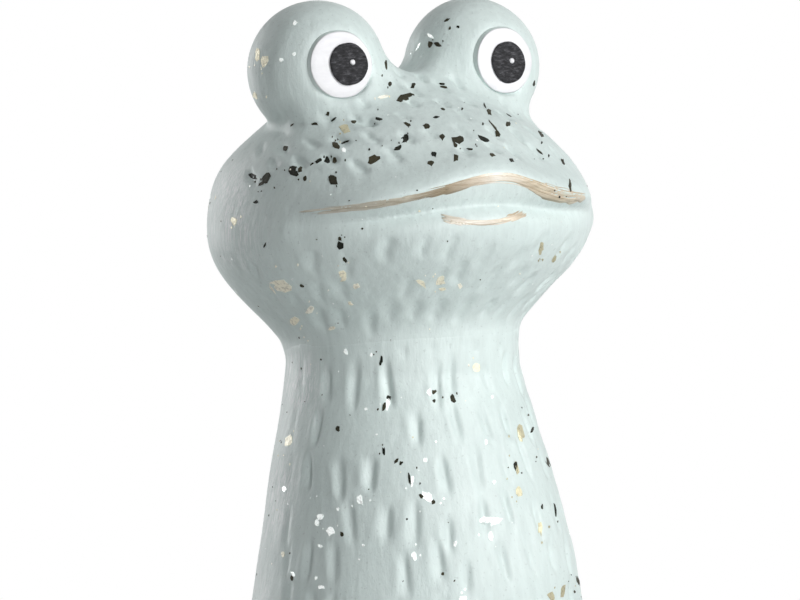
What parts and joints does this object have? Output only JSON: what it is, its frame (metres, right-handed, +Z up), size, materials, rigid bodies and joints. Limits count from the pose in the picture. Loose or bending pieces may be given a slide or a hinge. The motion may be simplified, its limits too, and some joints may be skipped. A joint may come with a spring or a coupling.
{
  "type": "frog figurine",
  "caption": "Upright sitting frog figurine in hollow satin ceramic, with ball eyes, a wide smiling head, a dimpled bell-shaped body and gold leaf flecks.",
  "frame": {"origin": "on the table, under the middle of the figure's box", "axes": "+Z up, the frog faces -Y, +X is the frog's left"},
  "size_m": [0.157, 0.169, 0.3002],
  "materials": {
    "mint_ceramic": "satin",
    "slip": "matte",
    "eye_white": "satin",
    "pupil_charcoal": "matte brushed paint",
    "gold_leaf": "brushed leaf",
    "rubber": "matte"
  },
  "bodies": {
    "root": {"body_shell": "mint_ceramic", "head_shell": "mint_ceramic", "eye_bulb_right": "mint_ceramic", "eye_bulb_left": "mint_ceramic", "upper_lip": "mint_ceramic", "lower_lip": "mint_ceramic", "haunch_right": "mint_ceramic", "haunch_left": "mint_ceramic", "foot_right": "mint_ceramic", "foot_left": "mint_ceramic", "arm_right": "mint_ceramic", "arm_left": "mint_ceramic", "neck_slip_joint": "slip", "eye_disc_right": "eye_white", "eye_disc_left": "eye_white", "pupil_right": "pupil_charcoal", "pupil_left": "pupil_charcoal", "catchlight_right": "eye_white", "catchlight_left": "eye_white", "upper_lip_gilding": "gold_leaf", "lower_lip_gilding": "gold_leaf", "base_bumpers": "rubber"}
  },
  "joints": []
}
